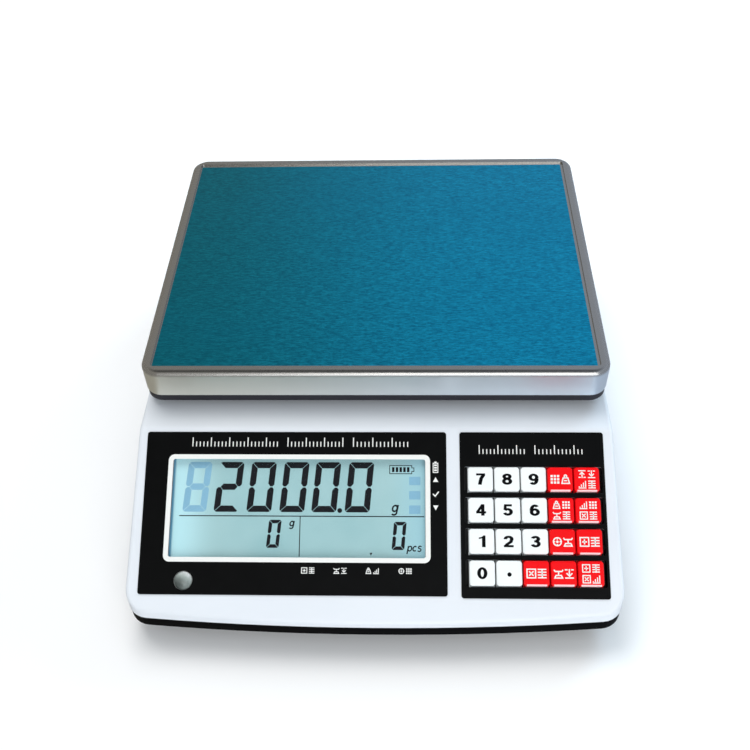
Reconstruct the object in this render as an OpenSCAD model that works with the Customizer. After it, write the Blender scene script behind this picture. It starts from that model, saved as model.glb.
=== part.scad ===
// Desk-top counting scale with a lift-off steel pan, a sloped display and keypad
// panel, a single-point load cell and four levelling feet.
// Origin: middle of the footprint, on the table. +Z up, front towards -Y.

/* [Overall] */
// Width of the housing at its widest
body_w = 272.6; // [264:0.2:290]
// Depth of the housing, front lip to rear wall
body_d = 327; // [315:1:345]
// Height of the pan's rim above the table
pan_top_z = 105; // [104:0.5:110]
// Radius of the housing's corners, seen from above
corner_r = 13; // [10:1:18]
// Radius of the bow along the front edge
bow_r = 1594; // [1200:10:3000]
// Height of the line where the two housings meet
parting_z = 21; // [20:0.5:22]

/* [Deck and panel] */
// Height of the flat deck under the pan
deck_z = 77; // [76:0.5:78]
// Slope of the front panel
panel_tilt = 29.2; // [28:0.1:30]
// Distance from the front of the housing to the crease at the top of the panel
crease_from_front = 93.6; // [92:0.1:95]
// Radius of the crease between deck and panel
crease_r = 8; // [4:1:12]
// Wall thickness of the housings
wall = 2.5; // [2:0.1:3]
// Rounding of the upper housing's edges
edge_r = 2.6; // [1.5:0.1:3]
// How far each side leans in for each millimetre of height
draft = 0.041; // [0.02:0.001:0.05]

/* [Pan] */
// Width of the pan
pan_w = 265; // [255:1:268]
// Depth of the pan
pan_d = 210; // [200:1:212]
// Height of the pan's turned-down flange
pan_h = 18; // [17:0.5:19]
// Corner radius of the pan
pan_corner_r = 10.8; // [9:0.2:12]
// Rounding of the pan's top edge
pan_edge_r = 3; // [2.5:0.1:3.5]
// Thickness of the pan's sheet
sheet_t = 1; // [0.8:0.1:1.2]
// Width of the raised border round the pan's field
rim_w = 5.8; // [5:0.1:7]
// Depth of the field below the border
field_drop = 1.1; // [0.8:0.1:1.4]
// Distance from the front of the housing to the pan's centre
pan_from_front = 215; // [214:0.5:216]

/* [Display] */
// Width of the display overlay
display_w = 169.2; // [165:0.2:170]
// Length of the display overlay down the slope
display_l = 90.1; // [88:0.1:91]
// Width of the clear part of the window
lcd_w = 141.4; // [138:0.2:142]
// Height of the clear part of the window
lcd_h = 55; // [52:0.5:56]
// Diameter of the bubble level
level_d = 10.4; // [10:0.2:12]

/* [Keys] */
// Width of the keypad overlay
keypad_w = 80; // [79:0.5:82]
// Length of the keypad overlay down the slope
keypad_l = 91; // [90:0.5:92]
// Width of a key
key_w = 13.9; // [13:0.1:14]
// Length of a key down the slope
key_l = 13.5; // [13:0.1:14]
// Spacing of the keys across
key_pitch_x = 14.6; // [14.5:0.1:15]
// Spacing of the rows down the slope
key_pitch_v = 17; // [16.6:0.1:17.4]
// How far a key stands above the overlay
key_rise = 2.2; // [1.8:0.1:2.6]

/* [Feet] */
// Diameter of a foot's knob
foot_d = 28; // [24:1:30]
// Height of a foot's knob
foot_h = 8.2; // [7.8:0.1:8.3]
// Distance of the feet from the middle, across
foot_x = 108; // [106:1:110]

/* [Hidden] */
KEYS = ["key_7", "key_8", "key_9", "key_sample", "key_limits",
        "key_4", "key_5", "key_6", "key_unit_weight", "key_preset_clear",
        "key_1", "key_2", "key_3", "key_zero", "key_total",
        "key_0", "key_point", "key_clear", "key_tare", "key_total_clear"];
FEET = ["front_left", "front_right", "rear_left", "rear_right"];

$fn = 48;
eps = 0.01;

// Housing
front_y = -body_d / 2;
rear_y = body_d / 2;
crease_y = front_y + crease_from_front;
base_z = 9;                // underside of the lower housing
floor_t = 3;               // its floor
floor_z = base_z + floor_t;
chamfer_h = 4;             // height of the slope round its underside
chamfer_in = 3.5;          // how far that slope goes in
cavity_in = 5.3;           // from the widest outline to the upper housing's hollow
screw_at = [[-122, -134], [41, -134], [122, -64], [-122, 147], [122, 147]];

// Platform, stacked from the deck up
pan_y = front_y + pan_from_front;
spider_z = deck_z + 4;     // underside of the spider's arms
spider_t = 6;
tray_z = deck_z + 5.2;     // underside of the tray's lip
tray_lip_top = pan_top_z - pan_h - 0.4;
field_z = pan_top_z - field_drop;
cushion_t = 1;
tray_top = field_z - sheet_t - cushion_t;
tray_t = 2.5;
arm_at = [95, 68];         // arm ends, from the pan's centre
cushion_at = [104, 76];

// Load cell and what holds it
cell_l = 130;
cell_w = 30;
cell_h = 22;
cell_z = 36;
cell_bolt_x = [39, 58];
stop_gap = 0.7;
plate_z = 14;
plate_t = 3;
boss_w = 34;               // pedestal and spider boss, along the cell
boss_mid = 48.5;

// Panel: window, keys and what lies behind them
overlay_t = 0.4;
overlay_v = 2.2;           // overlays start this far below the crease
display_x = -44;
window_x = -42.1;
window_v = 44.9;
window_t = 1.5;
window_lap = 3;
level_x = -103.8;
level_v = 84.8;
keypad_x = 88;
key_x0 = 59.25;
key_v0 = 28.9;
slot_end = 2;              // a slot in the overlay runs this far past the end keys
slot_gap = 0.5;            // and this far past their other edges
slot_back = 0.7;           // the shell's slot is longer by this at each end
slot_ease = 0.1;           // and wider by this on each side
key_flange = 1.2;
key_drop = 0.3;            // gap between a key's flange and the panel
stem_l = 1;
mat_h = -8;                // top of the mat's web, from the panel's surface
board_t = 1.6;

// Rear wall
pocket_y = rear_y - 4;
pocket_x = [20, 112];
pocket_z = [28, 60];
inlet_x = 86;
switch_x = 42;
rear_z = 44;

// Main board
board_mid = [22, -22];
board_post = [26, 32];     // posts, from the board's middle

// Battery bay
bay_mid = [-73.5, -27];
bay = [104, 73];
door_t = 2;
hinge_y = bay_mid[1] + bay[1] / 2 - 1.2;
hinge_z = 10.4;

// Feet
stud_r = 4;
foot_y = [-118, 128];
knob_play = 0.06;

// ---------- shared shapes ----------

function arc(cx, cy, r, a0, a1, n) =
    [for (i = [0 : n]) let (a = a0 + (a1 - a0) * i / n) [cx + r * cos(a), cy + r * sin(a)]];

// Plan of the housing, a given distance inside its widest line, with a bowed front
function plan(inset) = let (
    cx = body_w / 2 - corner_r,
    bow_cy = front_y + bow_r,
    front_cy = bow_cy - sqrt(pow(bow_r - corner_r, 2) - cx * cx),
    turn = atan2(front_cy - bow_cy, cx),
    r = corner_r - inset)
    concat(
        arc(cx, front_cy, r, turn, 0, 7),
        arc(cx, rear_y - corner_r, r, 0, 90, 7),
        arc(-cx, rear_y - corner_r, r, 90, 180, 7),
        arc(-cx, front_cy, r, 180, 180 - turn, 7),
        [for (i = [1 : 13]) let (a = -180 - turn + (2 * turn + 180) * i / 14)
            [(bow_r - inset) * cos(a), bow_cy + (bow_r - inset) * sin(a)]]);

// Side view of the space under the deck and panel, a given distance inside them
function profile(inset) = let (
    far = 40,
    slope = tan(panel_tilt),
    cy = crease_y + crease_r * tan(panel_tilt / 2),
    low_y = front_y - far,
    low_z = deck_z + (low_y - crease_y) * slope - inset / cos(panel_tilt))
    concat(
        [[low_y, -far], [rear_y + far, -far], [rear_y + far, deck_z - inset]],
        arc(cy, deck_z - crease_r, crease_r - inset, 90, 90 + panel_tilt, 6),
        [[low_y, low_z]]);

// Moves children to the panel: x across, v down the slope from the crease, h off the surface
module on_panel(x = 0, v = 0, h = 0) {
    translate([0, crease_y, deck_z]) rotate([panel_tilt, 0, 0]) translate([x, -v, h]) children();
}

module rounded_rect(w, d, r) {
    square([w - 2 * r, d], center = true);
    square([w, d - 2 * r], center = true);
    for (x = [-1, 1], y = [-1, 1]) translate([x * (w / 2 - r), y * (d / 2 - r)]) circle(r);
}

module rounded_block(w, d, h, r) {
    linear_extrude(h) rounded_rect(w, d, r);
}

// Half of a section with one rounded top corner
module edge_section(reach, h, r) {
    square([reach, h - r]);
    square([reach - r, h]);
    intersection() {
        translate([reach - r, h - r]) circle(r);
        square([reach, h]);
    }
}

// Block with rounded corners and a rounded top edge
module soft_block(w, d, h, corner, edge) {
    for (s = [0, 1]) mirror([s, 0, 0]) rotate([90, 0, 0])
        linear_extrude(d - 2 * corner, center = true) edge_section(w / 2, h, edge);
    for (s = [0, 1]) mirror([0, s, 0]) rotate([90, 0, 90])
        linear_extrude(w - 2 * corner, center = true) edge_section(d / 2, h, edge);
    for (a = [0 : 3]) {
        sx = (a == 0 || a == 3) ? 1 : -1;
        sy = (a < 2) ? 1 : -1;
        translate([sx * (w / 2 - corner), sy * (d / 2 - corner), 0]) rotate([0, 0, 90 * a])
            rotate_extrude(angle = 90) edge_section(corner, h, edge);
    }
}

module at_four(x, y) {
    for (sx = [-1, 1], sy = [-1, 1]) translate([sx * x, sy * y, 0]) children();
}

module at_feet(i) {
    translate([(i % 2 == 0 ? -1 : 1) * foot_x, foot_y[floor(i / 2)], 0]) children();
}

// ---------- housings ----------

// Solid shape of the upper housing, every edge rounded
module housing_form() {
    low = parting_z - 6;
    intersection() {
        minkowski() {
            intersection() {
                hull() {
                    translate([0, 0, low])
                        linear_extrude(eps) polygon(plan(edge_r + draft * (low - parting_z)));
                    translate([0, 0, deck_z])
                        linear_extrude(eps) polygon(plan(edge_r + draft * (deck_z - parting_z)));
                }
                rotate([90, 0, 90]) linear_extrude(body_w + 20, center = true)
                    polygon(profile(edge_r));
            }
            sphere(edge_r, $fn = 20);
        }
        translate([0, 0, parting_z + 50]) cube([body_w + 40, body_d + 40, 100], center = true);
    }
}

module housing_hollow() {
    intersection() {
        translate([0, 0, -20]) linear_extrude(120) polygon(plan(cavity_in));
        rotate([90, 0, 90]) linear_extrude(body_w, center = true) polygon(profile(wall));
    }
}

module key_slots(longer, wider) {
    for (row = [0 : 3])
        on_panel(key_x0 + 2 * key_pitch_x, key_v0 + row * key_pitch_v, -wall - 2)
            rounded_block(4 * key_pitch_x + key_w + 2 * (slot_end + longer),
                          key_l + 2 * (slot_gap + wider), 10, 1.2);
}

module upper_housing() {
    color("whitesmoke") difference() {
        union() {
            difference() {
                housing_form();
                housing_hollow();
            }
            // screw columns and the thicker wall behind the rear pocket, kept inside the hollow
            intersection() {
                housing_hollow();
                union() {
                    for (p = screw_at) translate([p[0], p[1], parting_z]) cylinder(h = 60, r = 4.5);
                    translate([pocket_x[0] - 3, pocket_y - 4, pocket_z[0] - 3])
                        cube([pocket_x[1] - pocket_x[0] + 6, 20, pocket_z[1] - pocket_z[0] + 6]);
                }
            }
        }
        for (p = screw_at) translate([p[0], p[1], parting_z - 1]) cylinder(h = 14, r = 2.05);
        // way through for the spider's boss
        translate([boss_mid, pan_y, deck_z - 10]) rounded_block(boss_w + 12, cell_w + 12, 20, 6);
        // window, its rebate, the level and the keys
        on_panel(window_x, window_v, -wall - 5) rounded_block(lcd_w + 1, lcd_h + 1, 10, 1);
        on_panel(window_x, window_v, -window_t)
            rounded_block(lcd_w + 2 * window_lap + 0.4, lcd_h + 2 * window_lap + 0.4, 5, 2.2);
        on_panel(level_x, level_v, -12) cylinder(h = 20, d = level_d + 2.4);
        key_slots(slot_back, slot_ease);
        // rear pocket with holes for the inlet and the switch
        translate([pocket_x[0], pocket_y, pocket_z[0]])
            cube([pocket_x[1] - pocket_x[0], 10, pocket_z[1] - pocket_z[0]]);
        translate([inlet_x - 14, pocket_y - 10, rear_z - 10.5]) cube([28, 20, 21]);
        translate([switch_x - 7, pocket_y - 10, rear_z - 10]) cube([14, 20, 20]);
    }
}

module lower_housing() {
    lip_in = cavity_in + 0.3;
    lip_t = 1.6;
    color([0.06, 0.06, 0.07]) difference() {
        union() {
            difference() {
                hull() {
                    translate([0, 0, base_z])
                        linear_extrude(eps) polygon(plan(chamfer_in));
                    translate([0, 0, base_z + chamfer_h])
                        linear_extrude(parting_z - base_z - chamfer_h) polygon(plan(0.3));
                }
                translate([0, 0, floor_z]) linear_extrude(30) polygon(plan(lip_in + lip_t));
            }
            // lip that enters the upper housing
            difference() {
                translate([0, 0, parting_z - 1]) linear_extrude(4) polygon(plan(lip_in));
                translate([0, 0, parting_z - 2]) linear_extrude(6) polygon(plan(lip_in + lip_t));
            }
            for (p = screw_at) translate([p[0], p[1], base_z + 1])
                cylinder(h = parting_z - base_z - 1.1, r = 5);
            for (i = [0 : 3]) at_feet(i) translate([0, 0, base_z + 1]) cylinder(h = 15, r = 9);
            // pads under the base frame
            translate([0, pan_y, base_z + 1]) at_four(68, 28) cylinder(h = plate_z - base_z - 1, r = 6);
            // battery bay, and blocks round its hinge pins
            translate([bay_mid[0], bay_mid[1], floor_z - 1])
                rounded_block(bay[0] + 3.4, bay[1] + 5, 24, 1);
            for (s = [-1, 1]) translate([bay_mid[0] + s * (bay[0] / 2 + 3), hinge_y, floor_z])
                cube([5, 7, 5], center = true);
            // posts of the main board
            translate([board_mid[0], board_mid[1], floor_z - 1])
                at_four(board_post[0], board_post[1]) cylinder(h = 9, r = 3.5);
        }
        for (p = screw_at) translate([p[0], p[1], 0]) {
            cylinder(h = base_z + 5, r = 3.8);
            cylinder(h = 40, r = 2.25);
        }
        for (i = [0 : 3]) at_feet(i) cylinder(h = 40, r = stud_r + 0.08);
        translate([0, pan_y, base_z + 1.2]) at_four(68, 28) cylinder(h = 10, r = 2.05);
        translate([bay_mid[0], bay_mid[1] + 0.25, floor_z - 0.8])
            linear_extrude(40) square([bay[0] - 1.6, bay[1] + 0.5], center = true);
        translate([bay_mid[0], bay_mid[1] + 0.2, 0])
            linear_extrude(floor_z - 0.7) square([bay[0] + 1, bay[1] + 1.4], center = true);
        translate([bay_mid[0], hinge_y, hinge_z]) rotate([0, 90, 0]) {
            cylinder(h = bay[0] + 6, r = 0.98, center = true);
            // room for the door's rear edge as it swings
            cylinder(h = bay[0] + 1, r = 2.05, center = true);
        }
        translate([board_mid[0], board_mid[1], floor_z])
            at_four(board_post[0], board_post[1]) cylinder(h = 10, r = 1.3);
    }
}

module housing_screws() {
    color("silver") for (p = screw_at) translate([p[0], p[1], base_z + 5]) {
        translate([0, 0, -2.6]) cylinder(h = 2.6, r = 3.5);
        translate([0, 0, -eps]) cylinder(h = 18, r = 2);
    }
}

// ---------- pan and platform ----------

module weighing_pan() {
    field_w = pan_w - 2 * rim_w;
    field_d = pan_d - 2 * rim_w;
    color("silver") translate([0, pan_y, pan_top_z - pan_h]) difference() {
        union() {
            difference() {
                soft_block(pan_w, pan_d, pan_h, pan_corner_r, pan_edge_r);
                translate([0, 0, -1])
                    soft_block(pan_w - 2 * sheet_t, pan_d - 2 * sheet_t, pan_h + 1 - sheet_t,
                               pan_corner_r - sheet_t, pan_edge_r - sheet_t);
            }
            translate([0, 0, pan_h - field_drop - sheet_t])
                rounded_block(field_w + 2 * sheet_t, field_d + 2 * sheet_t, field_drop + 0.5, 2.6);
        }
        translate([0, 0, pan_h - field_drop]) rounded_block(field_w, field_d, 5, 1.6);
    }
}

module protective_film() {
    film_t = 0.15;
    left = 6.6;
    right = 7.6;
    front = 6.1;
    back = 8;
    color([0.07, 0.45, 0.62])
        translate([-pan_w / 2 + left, pan_y - pan_d / 2 + front, field_z])
            cube([pan_w - left - right, pan_d - front - back, film_t]);
}

module pan_cushions() {
    color([0.1, 0.1, 0.1]) translate([0, pan_y, tray_top]) {
        at_four(cushion_at[0], cushion_at[1]) cylinder(h = cushion_t, r = 9);
        cylinder(h = cushion_t, r = 9);
    }
}

module support_tray() {
    gap = 0.4;
    w = pan_w - 2 * sheet_t - 2 * gap;
    d = pan_d - 2 * sheet_t - 2 * gap;
    r = pan_corner_r - sheet_t - gap;
    color([0.08, 0.08, 0.1]) translate([0, pan_y, 0]) difference() {
        union() {
            difference() {
                union() {
                    translate([0, 0, tray_z]) rounded_block(w, d, tray_top - tray_z, r);
                    translate([0, 0, tray_z])
                        rounded_block(pan_w - 0.8, pan_d - 0.8, tray_lip_top - tray_z,
                                      pan_corner_r - 0.4);
                }
                translate([0, 0, tray_z - 1])
                    rounded_block(w - 2 * tray_t, d - 2 * tray_t, tray_top - tray_z + 1 - tray_t,
                                  r - tray_t);
            }
            at_four(arm_at[0], arm_at[1]) translate([0, 0, spider_z + spider_t])
                cylinder(h = tray_top - spider_z - spider_t - 1, r = 6);
            // stiffening ribs under the top
            for (x = [-60, 0, 60]) translate([x - 0.75, -d / 2 + 1, tray_top - 8])
                cube([1.5, d - 2, 7]);
        }
        at_four(arm_at[0], arm_at[1]) translate([0, 0, spider_z]) cylinder(h = 16, r = 2.05);
    }
}

module tray_screws() {
    color("silver") translate([0, pan_y, spider_z]) at_four(arm_at[0], arm_at[1]) {
        translate([0, 0, -2.4]) cylinder(h = 2.4, r = 3.6);
        translate([0, 0, -eps]) cylinder(h = 15, r = 2);
    }
}

// Cast cross that carries the tray, with a boss down to the load cell's free end
module spider() {
    reach = norm(arm_at);
    turn = atan2(arm_at[1], arm_at[0]);
    color("darkgray") translate([0, pan_y, 0]) difference() {
        union() {
            translate([0, 0, spider_z]) {
                rounded_block(86, 56, spider_t, 8);
                for (s = [-1, 1]) rotate([0, 0, s * turn]) {
                    translate([-reach, -8, 0]) cube([2 * reach, 16, spider_t]);
                    for (e = [-1, 1]) translate([e * reach, 0, 0]) cylinder(h = spider_t, r = 9);
                }
                translate([boss_mid, 0, 0]) rounded_block(boss_w, cell_w, spider_t, 3);
            }
            translate([boss_mid, 0, cell_z + cell_h])
                rounded_block(boss_w, cell_w - 2, spider_z - cell_z - cell_h + 1, 3);
        }
        for (x = cell_bolt_x) translate([x, 0, 0]) {
            cylinder(h = 100, r = 3.1);
            translate([0, 0, spider_z]) cylinder(h = 20, r = 5.4);
        }
        at_four(arm_at[0], arm_at[1]) cylinder(h = 100, r = 2.1);
    }
}

module spider_bolts() {
    color("silver") translate([0, pan_y, 0]) for (x = cell_bolt_x) translate([x, 0, spider_z])
        cap_bolt(head_r = 5, head_h = 5.8, shank_r = 3, shank_l = 35);
}

// Socket-head bolt, its head up and its shank down
module cap_bolt(head_r, head_h, shank_r, shank_l) {
    difference() {
        cylinder(h = head_h, r = head_r);
        translate([0, 0, head_h - 3]) cylinder(h = 4, r = 2.9, $fn = 6);
    }
    translate([0, 0, -shank_l]) cylinder(h = shank_l + eps, r = shank_r);
}

module load_cell() {
    lobe = 8;              // radius of the two bores that leave the thin flexures
    color([0.75, 0.76, 0.78]) translate([0, pan_y, cell_z]) difference() {
        translate([-cell_l / 2, -cell_w / 2, 0]) cube([cell_l, cell_w, cell_h]);
        for (x = [-12, 12]) translate([x, 0, cell_h / 2]) rotate([90, 0, 0])
            cylinder(h = cell_w + 2, r = lobe, center = true);
        translate([-12, -cell_w, cell_h / 2 - 3]) cube([24, 2 * cell_w, 6]);
        for (s = [-1, 1], x = cell_bolt_x) translate([s * x, 0, -1]) cylinder(h = cell_h + 2, r = 3.08);
    }
}

module cell_bolts() {
    color("silver") translate([0, pan_y, plate_z]) for (x = cell_bolt_x)
        translate([-x, 0, 6]) mirror([0, 0, 1])
            cap_bolt(head_r = 5, head_h = 5.8, shank_r = 3, shank_l = 28);
}

// Base casting: a plate with the pedestal of the load cell's fixed end
module base_frame() {
    color("gray") translate([0, pan_y, plate_z]) difference() {
        union() {
            rounded_block(152, 70, plate_t, 5);
            translate([-boss_mid, 0, 0]) rounded_block(boss_w, cell_w, cell_z - plate_z, 3);
            for (y = [-25, 25]) translate([-60, y - 2, 0]) cube([120, 4, 9]);
        }
        for (x = cell_bolt_x) translate([-x, 0, -1]) {
            cylinder(h = 60, r = 3.08);
            cylinder(h = 7, r = 5.4);
        }
        at_four(68, 28) translate([0, 0, -1]) cylinder(h = 20, r = 2.2);
        translate([boss_mid, 0, -1]) cylinder(h = 20, r = 3.08);
    }
}

module base_frame_screws() {
    color("silver") translate([0, pan_y, plate_z + plate_t]) at_four(68, 28) {
        cylinder(h = 2.4, r = 3.6);
        translate([0, 0, -6.4]) cylinder(h = 6.5, r = 2);
    }
}

// Set screw and lock nut under the load cell's free end
module overload_stop() {
    color("silver") translate([boss_mid, pan_y, plate_z]) {
        cylinder(h = cell_z - plate_z - stop_gap, r = 3);
        translate([0, 0, plate_t]) cylinder(h = 5, r = 5.8, $fn = 6);
    }
}

// ---------- display side of the panel ----------

module display_overlay() {
    color([0.04, 0.05, 0.05]) difference() {
        on_panel(display_x, overlay_v + display_l / 2)
            rounded_block(display_w, display_l, overlay_t, 1.5);
        on_panel(window_x, window_v, -1) rounded_block(lcd_w, lcd_h, 3, 1);
        on_panel(level_x, level_v, -1) cylinder(h = 3, d = level_d);
    }
}

module display_window() {
    color([0.8, 0.9, 0.92, 0.4]) on_panel(window_x, window_v, -window_t)
        rounded_block(lcd_w + 2 * window_lap, lcd_h + 2 * window_lap, window_t, 2);
}

module lcd_glass() {
    color([0.68, 0.83, 0.85]) on_panel(window_x, window_v, -wall - 2.4)
        rounded_block(lcd_w + 6, lcd_h + 7, 2.2, 0.5);
}

module lcd_backlight() {
    color("white") on_panel(window_x, window_v, -wall - 6)
        rounded_block(lcd_w + 4, lcd_h + 5, 3.6, 1);
}

module display_board() {
    color("green") {
        on_panel(window_x, window_v, -wall - 6 - board_t)
            rounded_block(lcd_w + 8, lcd_h + 9, board_t, 1);
        on_panel(window_x - 20, window_v, -wall - 6 - board_t - 1.8)
            rounded_block(14, 14, 2, 0.5);
        on_panel(window_x + 40, window_v, -wall - 6 - board_t - 5)
            rounded_block(26, 6, 5.2, 0.5);
    }
}

module level_cup() {
    color([0.5, 0.52, 0.52]) on_panel(level_x, level_v, -8) difference() {
        cylinder(h = 7.6, d = level_d + 2.2);
        translate([0, 0, 1.2]) cylinder(h = 10, d = level_d - 0.2);
    }
}

// Its top is a dome that stands proud of the overlay
module level_lens() {
    d = level_d - 0.24;
    h = 6.8 + overlay_t + 2.4;
    dome = 3.2;
    ball = (d * d / 4 + dome * dome) / (2 * dome);
    color([0.7, 0.75, 0.73, 0.6]) on_panel(level_x, level_v, -6.8) intersection() {
        cylinder(h = h, d = d);
        translate([0, 0, h - ball]) sphere(ball);
    }
}

// ---------- keypad side of the panel ----------

module keypad_overlay() {
    color([0.04, 0.04, 0.05]) difference() {
        on_panel(keypad_x, overlay_v + keypad_l / 2) rounded_block(keypad_w, keypad_l, overlay_t, 1.5);
        key_slots(0, 0);
    }
}

function key_column(i) = i % 5;
function key_row(i) = floor(i / 5);
function key_is_red(i) = key_column(i) > 2 || i == 17;

module at_key(i, h) {
    on_panel(key_x0 + key_column(i) * key_pitch_x, key_v0 + key_row(i) * key_pitch_v, h) children();
}

// Cap, flange that holds it under the panel, and stem that meets the mat
module key_cap(i) {
    flange_top = -wall - key_drop;
    color(key_is_red(i) ? "red" : "white") {
        at_key(i, flange_top - 0.1)
            soft_block(key_w, key_l, key_rise + overlay_t - flange_top + 0.1, 1.7, 1);
        at_key(i, flange_top - key_flange) rounded_block(key_w, key_l + 2.3, key_flange, 0.6);
        at_key(i, flange_top - key_flange - stem_l) cylinder(h = stem_l + 0.1, r = 3);
    }
}

module keypad_mat() {
    dome_top = -wall - key_drop - key_flange - stem_l;
    color([0.75, 0.75, 0.72]) {
        on_panel(keypad_x, overlay_v + 52.2, mat_h - 1) rounded_block(78, 74, 1, 2);
        for (i = [0 : 19]) at_key(i, mat_h - eps) {
            cylinder(h = dome_top - mat_h + eps, r1 = 5.6, r2 = 4);
        }
    }
}

module keypad_board() {
    color("green") on_panel(keypad_x, overlay_v + 52.2, mat_h - 1 - board_t)
        rounded_block(78, 76, board_t, 1);
}

// ---------- electrics ----------

module main_board() {
    color([0.1, 0.4, 0.2]) translate([board_mid[0], board_mid[1], floor_z + 8]) {
        translate([-30, -40, 0]) cube([60, 80, board_t]);
        translate([-20, 18, board_t - eps]) cube([14, 14, 1.8]);
        translate([6, -30, board_t - eps]) cube([16, 8, 22]);
        for (y = [-4, 10]) translate([-18, y - 14, board_t - eps]) cylinder(h = 14, r = 5);
        translate([6, 12, board_t - eps]) cube([18, 6, 8]);
    }
}

module battery() {
    color([0.15, 0.16, 0.18]) translate([bay_mid[0], bay_mid[1], floor_z + 1]) {
        translate([-50.5, -35, 0]) cube([101, 70, 46]);
        for (y = [-18, 18]) translate([50, y - 2.4, 30]) cube([1.2, 4.8, 6.3]);
    }
}

module battery_door() {
    color([0.08, 0.08, 0.09]) {
        difference() {
            translate([bay_mid[0], bay_mid[1], base_z + 0.1]) rounded_block(bay[0], bay[1], door_t, 1);
            // thumb dish beside the catch
            translate([bay_mid[0], bay_mid[1] - bay[1] / 2 + 9, base_z]) cylinder(h = 0.8, r = 6);
        }
        translate([bay_mid[0], hinge_y, hinge_z]) rotate([0, 90, 0])
            cylinder(h = bay[0] + 4, r = 0.9, center = true);
    }
}

module mains_transformer() {
    color([0.3, 0.3, 0.32]) translate([92, -22, floor_z]) {
        translate([-28, -13, 0]) cube([56, 26, 48]);
        translate([-18, -22, 9]) cube([36, 44, 30]);
        translate([-34, -10, 0]) cube([68, 20, 1.5]);
    }
}

// Three-pin appliance inlet
module power_inlet() {
    color([0.07, 0.07, 0.07]) translate([inlet_x, pocket_y, rear_z]) difference() {
        union() {
            translate([-16, 0, -12.5]) cube([32, 2, 25]);
            translate([-13.5, -24, -10]) cube([27, 24.5, 20]);
        }
        translate([-12.2, -17, -8.3]) cube([24.4, 22, 16.6]);
    }
    color("silver") translate([inlet_x, pocket_y - 17.5, rear_z])
        for (p = [[-7, -2], [7, -2], [0, 2]]) translate([p[0] - 1, 0, p[1] - 2]) cube([2, 14, 4]);
}

module switch_body() {
    color([0.07, 0.07, 0.07]) translate([switch_x, pocket_y, rear_z]) difference() {
        union() {
            translate([-7.5, 0, -10.5]) cube([15, 1.4, 21]);
            translate([-6.5, -16, -9.5]) cube([13, 16.5, 19]);
        }
        translate([-5.3, -7, -8.3]) cube([10.6, 12, 16.6]);
        translate([0, -2.6, 0]) rotate([0, 90, 0]) cylinder(h = 13.5, r = 1.06, center = true);
    }
}

// Rocker with two faces that meet over its pivot, drawn pressed in at the bottom
module switch_rocker() {
    lean = 8;
    color([0.12, 0.12, 0.13]) translate([switch_x, pocket_y - 2.6, rear_z]) rotate([lean, 0, 0]) {
        translate([-4.8, 0, 0]) rotate([90, 0, 90]) linear_extrude(9.6)
            polygon([[-2.2, -4], [-2.2, 4], [3.6, 7.6], [4.2, 7.6], [4.0, 0], [4.2, -7.6], [3.6, -7.6]]);
        rotate([0, 90, 0]) cylinder(h = 12.8, r = 1, center = true);
    }
}

// ---------- feet ----------

module foot_stud(i) {
    color("silver") at_feet(i) translate([0, 0, 2]) cylinder(h = 20, r = stud_r);
}

module foot_knob(i) {
    color([0.1, 0.1, 0.1]) at_feet(i) difference() {
        union() {
            cylinder(h = 2.2, r1 = foot_d / 2 - 2, r2 = foot_d / 2 - 1.2);
            translate([0, 0, 2.2 - eps]) cylinder(h = foot_h - 2.2 + eps, r = foot_d / 2 - 1.2);
            for (a = [0 : 15 : 345]) rotate([0, 0, a]) translate([foot_d / 2 - 1.2, 0, 2.8])
                cylinder(h = foot_h - 3.4, r = 1.2);
        }
        translate([0, 0, 1.6]) cylinder(h = foot_h, r = stud_r + knob_play);
    }
}

upper_housing();
lower_housing();
housing_screws();
protective_film();
weighing_pan();
pan_cushions();
support_tray();
tray_screws();
spider();
spider_bolts();
load_cell();
cell_bolts();
base_frame();
base_frame_screws();
overload_stop();
display_overlay();
display_window();
lcd_glass();
lcd_backlight();
display_board();
level_cup();
level_lens();
keypad_overlay();
keypad_mat();
keypad_board();
for (i = [0 : 19]) key_cap(i);
main_board();
battery();
battery_door();
mains_transformer();
power_inlet();
switch_body();
switch_rocker();
for (i = [0 : 3]) foot_stud(i);
for (i = [0 : 3]) foot_knob(i);
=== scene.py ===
"""Looks of the counting scale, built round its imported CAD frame. Blender units are metres."""

from math import cos, pi, radians, sin, tan

import bmesh
import bpy
from mathutils import Matrix, Vector


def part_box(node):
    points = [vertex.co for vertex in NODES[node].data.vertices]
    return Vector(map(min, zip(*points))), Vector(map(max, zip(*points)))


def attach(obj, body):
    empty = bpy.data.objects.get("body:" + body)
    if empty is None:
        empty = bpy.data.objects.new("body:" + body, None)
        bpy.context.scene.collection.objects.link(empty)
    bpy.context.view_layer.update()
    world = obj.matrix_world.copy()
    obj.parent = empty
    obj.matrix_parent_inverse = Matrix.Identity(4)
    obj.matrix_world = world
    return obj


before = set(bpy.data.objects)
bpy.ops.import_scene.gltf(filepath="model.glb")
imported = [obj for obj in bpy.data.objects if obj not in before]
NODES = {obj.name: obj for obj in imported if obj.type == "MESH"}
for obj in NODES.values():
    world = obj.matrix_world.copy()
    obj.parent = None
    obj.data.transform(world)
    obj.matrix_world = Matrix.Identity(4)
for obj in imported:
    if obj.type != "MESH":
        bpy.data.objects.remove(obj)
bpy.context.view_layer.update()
MM = 0.001

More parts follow.
